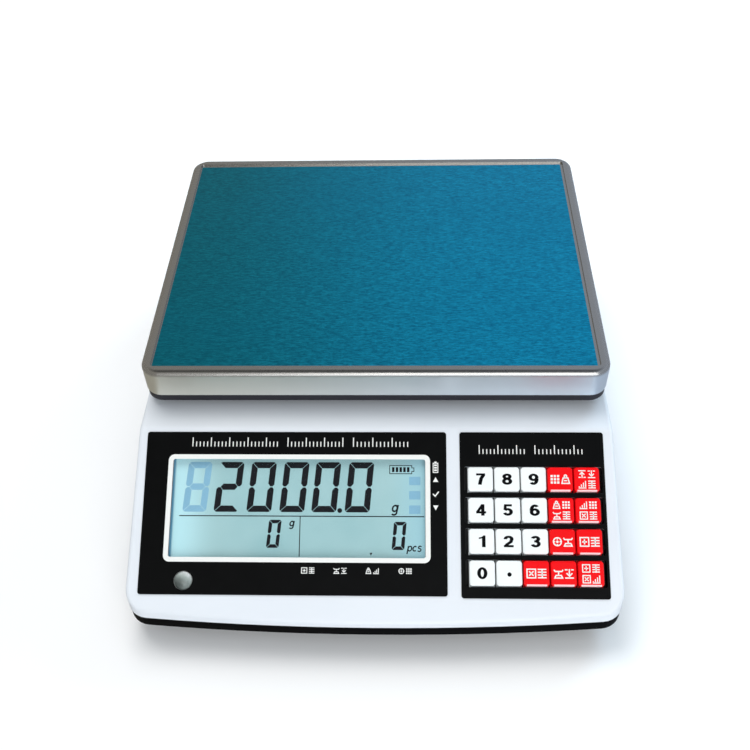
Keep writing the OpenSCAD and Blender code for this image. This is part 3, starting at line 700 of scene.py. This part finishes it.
class Pictogram:
    """Small signs drawn in a square from -1 to 1."""

    line = 0.26

    def __init__(self, drawing, x, v, size):
        self.d, self.x, self.v, self.s = drawing, x, v, size / 2

    def at(self, *points):
        return [(self.x + px * self.s, self.v + pv * self.s) for px, pv in points]

    def path(self, *points, closed=False):
        self.d.stroke(self.at(*points), self.line * self.s, closed)

    def fill(self, *points):
        self.d.polygon(self.at(*points))

    def parts(self):
        for i in (-1, 0, 1):
            for j in (-1, 0, 1):
                cx, cv, r = i * 0.68, j * 0.68, 0.24
                self.fill((cx - r, cv - r), (cx + r, cv - r), (cx + r, cv + r), (cx - r, cv + r))

    def stack(self):
        for i in (-0.85, -0.28, 0.28, 0.85):
            self.path((-0.9, i), (0.9, i))
        self.path((0, -0.72), (0, 0.72))

    def bars(self):
        for i, top in enumerate((0.45, 0.0, -0.45, -0.9)):
            self.path((-0.8 + i * 0.53, 0.65), (-0.8 + i * 0.53, top))
        self.path((-0.95, 0.88), (0.95, 0.88))

    def upper(self):
        self.path((-0.9, -0.86), (0.9, -0.86))
        self.path((0, 0.95), (0, -0.2))
        self.path((-0.6, 0.12), (0, -0.48), (0.6, 0.12))
        self.path((-0.9, 0.8), (-0.35, 0.8))
        self.path((0.35, 0.8), (0.9, 0.8))

    def lower(self):
        self.path((-0.9, 0.86), (0.9, 0.86))
        self.path((0, -0.95), (0, 0.2))
        self.path((-0.6, -0.12), (0, 0.48), (0.6, -0.12))
        self.path((-0.9, -0.8), (-0.35, -0.8))
        self.path((0.35, -0.8), (0.9, -0.8))

    def weight(self):
        self.path((-0.8, 0.86), (-0.5, -0.3), (0.5, -0.3), (0.8, 0.86), closed=True)
        self.d.ring(self.x, self.v - 0.66 * self.s, 0.26 * self.s, self.line * self.s)
        self.path((-0.34, 0.28), (0.34, 0.28))

    def pan(self):
        self.path((-0.95, -0.8), (-0.7, -0.45), (0.7, -0.45), (0.95, -0.8))
        self.path((0, -0.3), (0, 0.28))
        self.path((-0.8, 0.88), (-0.55, 0.36), (0.55, 0.36), (0.8, 0.88), closed=True)

    def cross(self):
        self.path((-0.88, -0.88), (0.88, -0.88), (0.88, 0.88), (-0.88, 0.88), closed=True)
        self.path((-0.45, -0.45), (0.45, 0.45))
        self.path((-0.45, 0.45), (0.45, -0.45))

    def plus(self):
        self.path((-0.88, -0.88), (0.88, -0.88), (0.88, 0.88), (-0.88, 0.88), closed=True)
        self.path((-0.5, 0), (0.5, 0))
        self.path((0, -0.5), (0, 0.5))

    def target(self):
        self.d.ring(self.x, self.v, 0.82 * self.s, self.line * self.s)
        self.d.disc(self.x, self.v, 0.26 * self.s)
        for px, pv in ((0, -1), (0, 1), (-1, 0), (1, 0)):
            self.path((px * 0.45, pv * 0.45), (px * 0.7, pv * 0.7))


def signs(drawing, names, x, v, size, gap):
    """A row of pictograms centred on x."""
    step = size + gap
    for i, name in enumerate(names):
        getattr(Pictogram(drawing, x + (i - (len(names) - 1) / 2) * step, v, size), name)()


def tick_row(drawing, groups, v, height, pitch=2.05, width=0.55):
    """Plain graduations in place of a title: every fifth is full height."""
    for start, end in groups:
        count = int((end - start) / pitch)
        for i in range(count + 1):
            tall = height if i % 5 == 0 else height * 0.55
            x = start + i * (end - start) / count
            drawing.box(x - width / 2, v + height / 2 - tall, x + width / 2, v + height / 2)


def display_print(white):
    """White frame round the window and the marks on the display's face sheet."""
    d = Drawing(OVERLAY_TOP)
    x, v = WINDOW_AT
    outer = rounded(x - 73.6, v - 29.8, x + 73.6, v + 29.8, 3.4)
    d.band(outer, rounded(x - 70.9, v - 27.2, x + 70.9, v + 27.2, 1.2))
    tick_row(d, ((-102.5, -54.5), (-48.5, -17.5), (-11.5, 19)), 8, 5.2)
    below = (("plus", "stack"), ("pan", "lower"), ("weight", "bars"), ("target", "parts"))
    for cx, names in zip((-35.4, -17.8, -0.3, 17.6), below):
        signs(d, names, cx, 79, 3.3, 0.8)
    battery_mark(d, 34.5, 22)
    d.polygon([(33.0, 30.3), (34.5, 27.6), (36.0, 30.3)])
    d.stroke([(33.0, 36.9), (34.2, 38.2), (36.2, 35.7)], 0.65)
    d.polygon([(33.0, 43.3), (36.0, 43.3), (34.5, 46.0)])
    d.finish("display_print", "base", white)


def battery_mark(d, x, v):
    d.stroke([(x - 1.3, v - 2.2), (x + 1.3, v - 2.2), (x + 1.3, v + 3), (x - 1.3, v + 3)], 0.45, closed=True)
    d.box(x - 0.6, v - 3.1, x + 0.6, v - 2.4)
    for i in range(3):
        d.box(x - 0.8, v - 1.5 + i * 1.4, x + 0.8, v - 0.6 + i * 1.4)


SEGMENTS = {"0": "abcdef", "2": "abged", "8": "abcdefg"}
SEGMENT_GAP = 0.16
SEGMENT_SLANT = tan(radians(5))
BIG_DIGITS = (29.6, 28.1)      # where the main row stands, and its height, in mm


def digit(d, figure, u, v, height, w, t):
    """A seven-segment figure standing on u, v; w is its width and t its segments' width."""
    m, g = height / 2, SEGMENT_GAP
    notch = m + 1.6 * g

    def flip(points):
        return [(w - x, y) for x, y in points]

    def turned(points):
        return [(x, height - y) for x, y in points]

    top = [(0.14 * t + g, height - 0.14 * t), (0.4 * t + g, height), (w - 0.4 * t - g, height),
           (w - 0.14 * t - g, height - 0.14 * t), (w - t - g, height - t), (t + g, height - t)]
    side = [(0, height - 0.4 * t - g), (0.14 * t, height - 0.14 * t - g), (t, height - t - g),
            (t, m + 0.5 * t + g), (0.62 * t, notch), (0.25 * t, notch), (0, m + 0.34 * t + g)]
    middle = [(0.6 * t + g, m), (t + g, m + t / 2), (w - t - g, m + t / 2), (w - 0.6 * t - g, m),
              (w - t - g, m - t / 2), (t + g, m - t / 2)]
    shapes = {"a": top, "b": flip(side), "c": turned(flip(side)), "d": turned(top), "e": turned(side),
              "f": side, "g": middle}
    for name in SEGMENTS[figure]:
        d.polygon([(u + x + y * SEGMENT_SLANT, v - y) for x, y in shapes[name]])


def lcd_figures(dark, ghost):
    """The display's segments, just proud of its glass, placed from the window's upper left corner."""
    d = Drawing(LCD_TOP, 0.02, LCD_LEFT, LCD_UPPER)
    for figure, u in (("2", 23.2), ("0", 41.6), ("0", 60.1), ("0", 78.0), ("0", 96.6)):
        digit(d, figure, u, *BIG_DIGITS, 14.0, 3.5)
    d.disc(94.0, 28.6, 1.35)
    d.box(4.1, 31.55, 141.0, 32.1)
    d.box(71.75, 32.1, 72.25, 54)
    digit(d, "0", 53.4, 49.3, 15.4, 7.0, 1.95)
    digit(d, "0", 122.9, 50.1, 15.4, 7.0, 1.95)
    Glyph(d, 67.5, 36.0, 0.85, 0.2).draw_g()
    Glyph(d, 124.8, 27.4, 1.12, 0.2).draw_g()
    for letter, u in (("p", 132.8), ("c", 135.7), ("s", 138.3)):
        getattr(Glyph(d, u, 49.4, 0.86, 0.2), "draw_" + letter)()
    d.polygon([(110.8, 51.7), (112.4, 51.7), (111.6, 53.2)])
    cell_end = [(134.1, 3.3), (134.1, 4.6), (135.3, 4.6), (135.3, 6.6), (134.1, 6.6), (134.1, 7.9)]
    d.stroke([(121.7, 3.3)] + cell_end + [(121.7, 7.9)], 0.42, closed=True)
    for i in range(5):
        d.box(123.0 + i * 2.1, 4.2, 124.4 + i * 2.1, 7.0)
    d.finish("lcd_figures", "base", dark)

    d = Drawing(LCD_TOP, 0.012, LCD_LEFT, LCD_UPPER)
    digit(d, "8", 5.6, *BIG_DIGITS, 13.4, 3.6)
    for v0 in (9.6, 17.6, 25.6):
        d.polygon(rounded(132.6, v0, 138.9, v0 + 4.7, 0.4, 2))
    d.finish("lcd_ghosts", "base", ghost)


def keypad_print(white):
    d = Drawing(OVERLAY_TOP)
    tick_row(d, ((59, 84), (90, 116)), 12, 5.0)
    d.finish("keypad_print", "base", white)


DIGIT_WIDEN = 1.6
KEY_ROWS = (
    ("key_7", "key_8", "key_9", "key_sample", "key_limits"),
    ("key_4", "key_5", "key_6", "key_unit_weight", "key_preset_clear"),
    ("key_1", "key_2", "key_3", "key_zero", "key_total"),
    ("key_0", "key_point", "key_clear", "key_tare", "key_total_clear"),
)
KEY_SIGNS = {
    "key_sample": (("parts", "weight"),),
    "key_limits": (("upper", "lower"), ("bars", "stack")),
    "key_unit_weight": (("weight", "parts"), ("pan", "stack")),
    "key_preset_clear": (("bars", "parts"), ("cross", "stack")),
    "key_zero": (("target", "pan"),),
    "key_total": (("plus", "stack"),),
    "key_clear": (("cross", "stack"),),
    "key_tare": (("pan", "lower"),),
    "key_total_clear": (("plus", "stack"), ("cross", "bars")),
}


def key_legends(black, white):
    """One printed legend on each key, which moves with it."""
    for row, names in enumerate(KEY_ROWS):
        for column, name in enumerate(names):
            x = KEY_FIRST[0] + KEY_PITCH[0] * column
            v = KEY_FIRST[1] + KEY_PITCH[1] * row
            d = Drawing(KEY_TOP, INK, x, v, DIGIT_WIDEN if name[-1].isdigit() else 1)
            if name in KEY_SIGNS:
                rows = KEY_SIGNS[name]
                if len(rows) == 1:
                    signs(d, rows[0], 0, 0, 5.2, 0.6)
                else:
                    signs(d, rows[0], 0, -2.9, 4.4, 0.8)
                    signs(d, rows[1], 0, 2.8, 4.4, 0.8)
                surface = white
            elif name == "key_point":
                d.disc(0, 0.6, 1.15)
                surface = black
            else:
                getattr(Glyph(d, 0, 0), "draw_" + name[-1])()
                surface = black
            d.finish(name + "_legend", name + "_cap", surface)


# ---------------------------------------------------------------- level bubble

def level_bubble(surface):
    """The flattened bubble under the level's lens."""
    centre = Vector((LEVEL_AT[0] + 0.9, 1.1 - LEVEL_AT[1], 0.4))
    radius, over, under = 2.3, 0.75, 0.95
    rings, sides = 14, 28
    bm = bmesh.new()

    def point(ring, side):
        down, turn = pi * ring / rings, 2 * pi * side / sides
        rise = cos(down) * (over if 2 * ring < rings else under)
        at = Vector((radius * sin(down) * cos(turn), radius * sin(down) * sin(turn), rise))
        return bm.verts.new(PANEL @ (centre + at))

    top, bottom = point(0, 0), point(rings, 0)
    loops = [[point(ring, side) for side in range(sides)] for ring in range(1, rings)]
    for i in range(sides):
        j = (i + 1) % sides
        bm.faces.new((top, loops[0][i], loops[0][j]))
        bm.faces.new((bottom, loops[-1][j], loops[-1][i]))
        for upper, lower in zip(loops, loops[1:]):
            bm.faces.new((upper[i], lower[i], lower[j], upper[j]))
    mesh = bpy.data.meshes.new("level_bubble")
    bm.to_mesh(mesh)
    bm.free()
    mesh.shade_smooth()
    mesh.materials.append(surface)
    obj = bpy.data.objects.new("level_bubble", mesh)
    bpy.context.scene.collection.objects.link(obj)
    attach(obj, "base")


# ---------------------------------------------------------------- floor

def floor():
    bm = bmesh.new()
    bmesh.ops.create_grid(bm, x_segments=12, y_segments=12, size=4)
    mesh = bpy.data.meshes.new("floor")
    bm.to_mesh(mesh)
    bm.free()
    made = material("floor_pale", (0.93, 0.93, 0.93), 0.6, Specular_IOR_Level=0.1)
    feed(made, "Base Color", mixed(made, noise(made, 3), (0.92, 0.925, 0.93), (0.95, 0.95, 0.95)))
    mesh.materials.append(made)
    obj = bpy.data.objects.new("floor", mesh)
    obj.visible_glossy = False
    bpy.context.scene.collection.objects.link(obj)


# ---------------------------------------------------------------- the scene

camera()
studio()
floor()
dress_frame()

WHITE_INK = ink("ink_white", (0.78, 0.79, 0.77), (0.86, 0.86, 0.83))
BLACK_INK = ink("ink_black", (0.002, 0.002, 0.003), (0.005, 0.005, 0.006))
LCD_DARK = ink("lcd_dark", (0.006, 0.002, 0.004), (0.011, 0.004, 0.006), 0.4)
# The ghost segments glow a little, a painted glow matching the panel's painted backlight glow.
LCD_GHOST = ink("lcd_ghost", (0.20, 0.405, 0.54), (0.24, 0.45, 0.60), 0.35,
                Emission_Color=(0.22, 0.43, 0.57, 1), Emission_Strength=0.14)
BUBBLE = material("bubble", (0.75, 0.78, 0.76), 0.12, Alpha=0.6)
feed(BUBBLE, "Roughness", scaled(BUBBLE, noise(BUBBLE, 300), 0.08, 0.16))

display_print(WHITE_INK)
lcd_figures(LCD_DARK, LCD_GHOST)
keypad_print(WHITE_INK)
key_legends(BLACK_INK, WHITE_INK)
level_bubble(BUBBLE)
